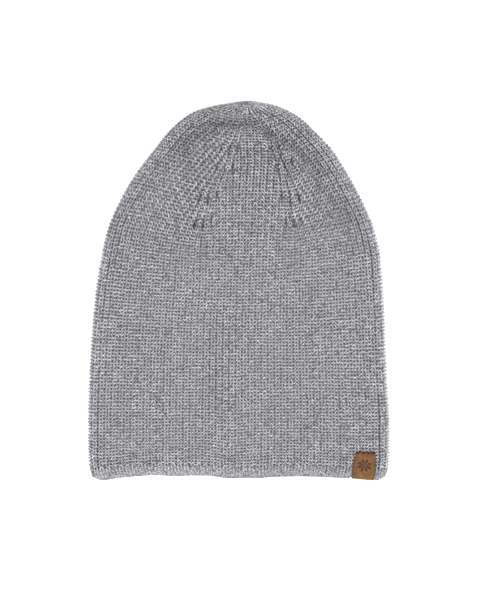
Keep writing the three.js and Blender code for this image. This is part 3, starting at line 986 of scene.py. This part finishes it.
def make_label(material):
    """One closed strip: its face, its back, its cut sides and its two ends."""
    cut_columns, cut_rows = CUT_STEPS / LABEL_WIDTH, CUT_STEPS / TAB_LENGTH
    next_column = NEXT_COLUMN / LABEL_WIDTH
    middle_columns = np.linspace(next_column, 1 - next_column, LABEL_COLUMNS)
    across = np.concatenate([cut_columns, middle_columns, 1 - cut_columns[::-1]])
    tab = np.concatenate([cut_rows[:-1], np.linspace(cut_rows[-1], 1, TAB_ROWS)])
    inner = np.concatenate([np.linspace(1, cut_rows[-1], INNER_ROWS), cut_rows[-2::-1]])
    bend = np.linspace(0, math.pi, BEND_ROWS + 1)[1:-1]
    down = np.concatenate([tab, np.ones(len(bend)), inner])
    turn = np.concatenate([0 * tab, bend, math.pi + 0 * inner])[:, None, None]
    w, t = across[None, :], down[:, None]
    top_x, top_y = (blend(ends, w) for ends in zip(*LABEL_TOP))
    hem_x = blend(LABEL_HEM_X, w)
    hem_right = ring_at(0.0)[4]
    hem_y = surface(0.0, np.arccos(hem_x / hem_right))[..., 1]
    x = blend((top_x, hem_x), t) + LABEL_BULGE * (2 * w - 1) * np.sin(math.pi * t)
    y = blend((top_y, hem_y), t)
    point, out, up = on_front(x, y)

    inward = np.minimum(np.minimum(w, 1 - w) * LABEL_WIDTH, t * TAB_LENGTH)
    share = np.clip(inward / CUT_ROUND, 0, 1)
    thick = LEATHER * blend((CUT_SIDE, 1), np.sqrt(1 - (1 - share) ** 2))
    star = star_cut((w - STAR_SPOT[0]) * LABEL_WIDTH, (t - STAR_SPOT[1]) * TAB_LENGTH)
    star = star * (np.arange(len(down)) < len(tab))[:, None]
    pull = SEAM_PULL * bell(y - np.interp(x, *zip(*STITCHES)), SEAM_WIDTH)
    for stitch_x, stitch_y in STITCHES:
        for end in (-0.5, 0.5):
            away = np.hypot(x - stitch_x - end * STITCH_LENGTH, y - stitch_y)
            pull = pull + HOLE_PULL * bell(away, HOLE_WIDTH)

    def sheet(offset):
        """The strip's surface at an offset from the knit."""
        out_reach = WALL / 2 + offset[..., None]
        down_reach = LABEL_BEND - LABEL_GAP + offset[..., None]
        return point - out * WALL / 2 + out * out_reach * np.cos(turn) - up * down_reach * np.sin(turn)

    faces = (sheet(np.full(thick.shape, LABEL_GAP)), sheet(LABEL_GAP + thick - STAR_DEPTH * star - pull))
    rows, columns = thick.shape
    count = rows * columns
    r, j = cell_corners(rows, columns - 1)
    back = r * columns + j
    edge_faces = lambda ids: np.stack([ids[:-1], ids[1:], ids[1:] + count, ids[:-1] + count], axis=1)
    first_row, left_side = np.arange(columns), np.arange(rows) * columns
    quads = [
        back,
        count + back[:, ::-1],
        edge_faces(first_row),
        edge_faces(first_row + (rows - 1) * columns)[:, ::-1],
        edge_faces(left_side)[:, ::-1],
        edge_faces(left_side + columns - 1),
    ]
    points = np.concatenate([face.reshape(-1, 3) for face in faces])
    piece = new_mesh("leather_tab", points, np.concatenate(quads), np.zeros((0, 3), int), material)
    piece.data.set_sharp_from_angle(angle=math.radians(SHARP_ANGLE))
    wear = np.exp(-inward / WORN_EDGE)
    add_number(piece, "star", np.concatenate([0 * star.ravel(), star.ravel()]))
    add_number(piece, "edge", np.concatenate([BACK_WEAR + 0 * wear.ravel(), wear.ravel()]))
    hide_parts("leather_label")
    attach(piece, "root")


def make_stitches(material):
    """The thread that holds the label: a row of short stitches on each tab."""
    along = np.linspace(0, 1, STITCH_ROWS)
    sides = np.linspace(0, 2 * math.pi, THREAD_SIDES + 1)[:-1]
    dive = np.exp(-np.minimum(along, 1 - along) / DIVE_SHARE)
    rise = STITCH_RISE * np.sin(math.pi * along) - STITCH_DIVE * dive
    ply = np.cos(2 * (sides[None, :] - math.pi * THREAD_TURNS * along[:, None]))
    thick = (THREAD * (1 + PLY_RELIEF * ply))[..., None]
    points, quads, caps, plies = [], [], [], []
    face = LABEL_GAP + LEATHER - THREAD_SUNK
    for level, way in ((face, 1), (-WALL - face, -1)):
        for stitch_x, stitch_y in STITCHES:
            x = stitch_x + (along - 0.5) * STITCH_LENGTH
            place, out, up = on_front(x, np.full(len(x), stitch_y))
            middle = place + out * (level + way * rise)[:, None]
            ring = up[:, None] * np.cos(sides)[None, :, None] + out[:, None] * np.sin(sides)[None, :, None]
            first = sum(len(p) for p in points)
            points.append((middle[:, None] + ring * thick).reshape(-1, 3))
            plies.append((0.5 + 0.5 * ply).ravel())
            r, j = cell_corners(STITCH_ROWS, THREAD_SIDES)
            quads.append(first + r * THREAD_SIDES + j % THREAD_SIDES)
            for row, turned in ((0, False), (STITCH_ROWS - 1, True)):
                fan = first + row * THREAD_SIDES + np.arange(THREAD_SIDES)
                cap = np.stack([np.full(THREAD_SIDES - 2, fan[0]), fan[1:-1], fan[2:]], axis=1)
                caps.append(cap[:, ::-1] if turned else cap)
    arrays = [np.concatenate(parts) for parts in (points, quads, caps)]
    piece = new_mesh("label_stitches", *arrays, material)
    add_number(piece, "ply", np.concatenate(plies))
    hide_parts("leather_label")
    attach(piece, "root")


def linear(srgb):
    """A colour from 0 to 255 as the linear colour that a shader takes."""
    values = [c / 255 for c in srgb]
    return tuple(c / 12.92 if c <= 0.04045 else ((c + 0.055) / 1.055) ** 2.4 for c in values) + (1,)


def set_inputs(tree, node, inputs):
    """Each input is a value, or the output of another node to link to it."""
    for name, value in inputs.items():
        if isinstance(value, bpy.types.NodeSocket):
            tree.links.new(value, node.inputs[name])
        else:
            node.inputs[name].default_value = value


def principled(name, inputs):
    material = bpy.data.materials.new(name)
    material.use_nodes = True
    shader = next(n for n in material.node_tree.nodes if n.type == "BSDF_PRINCIPLED")
    set_inputs(material.node_tree, shader, inputs)
    return material, material.node_tree, shader


def add_node(tree, kind, output, inputs, **settings):
    """The named output of a new node."""
    node = tree.nodes.new("ShaderNode" + kind)
    for name, value in settings.items():
        setattr(node, name, value)
    set_inputs(tree, node, inputs)
    return node.outputs[output]


def add_bump(tree, height, strength, distance):
    return add_node(tree, "Bump", "Normal", {"Height": height, "Strength": strength, "Distance": distance})


def add_attribute(tree, name, output="Fac"):
    return add_node(tree, "Attribute", output, {}, attribute_name=name)


def add_math(tree, operation, *values):
    return add_node(tree, "Math", "Value", dict(enumerate(values)), operation=operation)


def add_mix(tree, blend_type, factor, first, second):
    inputs = {"Factor": factor, "A": first, "B": second}
    return add_node(tree, "Mix", "Result", inputs, data_type="RGBA", blend_type=blend_type)


def add_ramp(tree, value, *stops):
    node = tree.nodes.new("ShaderNodeValToRGB")
    for element, (position, colour) in zip(node.color_ramp.elements, stops):
        element.position = position
        element.color = linear(colour)
    set_inputs(tree, node, {"Fac": value})
    return node.outputs["Color"]


def wool():
    """Heather yarn: fibres of two greys, with painted shade in the relief's hollows and painted light and
    shade by place, and twisted plies in its bump.
    """
    material, tree, shader = principled("heather_wool", {"Roughness": 0.92, "Sheen Weight": 0.15})
    place = add_node(tree, "TexCoord", "Object", {})
    fibre = {"Vector": place, "Scale": 1000, "Detail": 3, "Roughness": 0.6}
    fibre = add_node(tree, "TexNoise", "Fac", fibre)
    heather = add_ramp(tree, fibre, (0.37, DARK_WOOL), (0.63, LIGHT_WOOL))
    # painted shade: darker the deeper the relief's hollow
    shade = add_node(tree, "MapRange", "Result", {"Value": add_attribute(tree, "painted_hollow_shade"), **HOLLOW_SHADE})
    # the tone brings the yarn's random tones and the painted light and shade
    lighter = add_math(tree, "MULTIPLY_ADD", add_attribute(tree, "tone_and_painted_light"), TONE_LIGHT, 1.0)
    shade = add_math(tree, "MULTIPLY", shade, lighter)
    colour = add_mix(tree, "MULTIPLY", 1, heather, shade)

    turns = (2 * math.pi * PLIES_PER_RIB, 2 * math.pi * PLY_SLANT, 0)
    across_plies = {0: add_attribute(tree, "yarn", "Vector"), 1: turns}
    across_plies = add_node(tree, "VectorMath", "Value", across_plies, operation="DOT_PRODUCT")
    plies = add_math(tree, "SINE", across_plies)
    height = add_math(tree, "MULTIPLY_ADD", plies, PLY_SHARE, fibre)
    set_inputs(tree, shader, {"Base Color": colour, "Normal": add_bump(tree, height, 0.6, 0.0003)})
    return material


def leather():
    """Matt tan leather: mottled, darker where it is worn or pressed, with a fine grain."""
    material, tree, shader = principled("tan_leather", {"Roughness": 0.55, "Specular IOR Level": 0.35})
    place = add_node(tree, "TexCoord", "Object", {})
    patches = add_node(tree, "TexNoise", "Fac", {"Vector": place, "Scale": 260, "Detail": 4})
    colour = add_ramp(tree, patches, (0.3, DARK_LEATHER), (0.7, LIGHT_LEATHER))
    for name, darker, strength in (("edge", CUT_LEATHER, 0.9), ("star", PRESSED_LEATHER, 0.95)):
        amount = add_math(tree, "MULTIPLY", add_attribute(tree, name), strength)
        colour = add_mix(tree, "MIX", amount, colour, linear(darker))
    grain = add_node(tree, "TexVoronoi", "Distance", {"Vector": place, "Scale": 1700})
    set_inputs(tree, shader, {"Base Color": colour, "Normal": add_bump(tree, grain, 0.35, 0.0002)})
    return material


def thread():
    material, tree, shader = principled("dark_thread", {"Roughness": 0.85})
    # painted shade: the thread is darker in the grooves between its plies
    colour = add_ramp(tree, add_attribute(tree, "ply"), (0, DARK_THREAD), (1, LIGHT_THREAD))
    set_inputs(tree, shader, {"Base Color": colour})
    return material


def new_floor():
    bpy.ops.mesh.primitive_plane_add(size=8, location=(0, 0, 0))
    floor = bpy.context.object
    floor.name = "floor"
    inputs = {
        "Roughness": 0.9,
        "Base Color": (0.93, 0.93, 0.93, 1),
        "Specular IOR Level": 0.1,
        "Emission Color": (1, 1, 1, 1),
        "Emission Strength": 0.5,
    }
    floor.data.materials.append(principled("floor", inputs)[0])


def new_studio():
    scene = bpy.context.scene
    scene.view_settings.view_transform = "Standard"
    world = bpy.data.worlds.new("studio")
    world.use_nodes = True
    background = world.node_tree.nodes["Background"]
    background.inputs["Color"].default_value = (1, 1, 1, 1)
    background.inputs["Strength"].default_value = 0.5
    scene.world = world
    for name, place, size, power in LIGHTS:
        light = bpy.data.lights.new(name, "AREA")
        light.shape = "DISK"
        light.size = size
        light.energy = power
        lamp = bpy.data.objects.new(name, light)
        lamp.location = place
        aim = -lamp.location
        lamp.rotation_euler = aim.to_track_quat("-Z", "Y").to_euler()
        scene.collection.objects.link(lamp)


def new_camera():
    data = bpy.data.cameras.new("camera")
    data.sensor_width = SENSOR
    data.lens = SENSOR * (CAMERA_HEIGHT - OUTLINE_HEIGHT) / PICTURE_HEIGHT
    data.clip_end = 20
    camera = bpy.data.objects.new("camera", data)
    middle = to_frame(np.array([*PICTURE_MIDDLE, 0]))
    camera.location = (middle[0], middle[1], CAMERA_HEIGHT)
    bpy.context.scene.collection.objects.link(camera)
    bpy.context.scene.camera = camera


new_camera()
new_studio()
new_floor()
make_knit(wool())
make_label(leather())
make_stitches(thread())
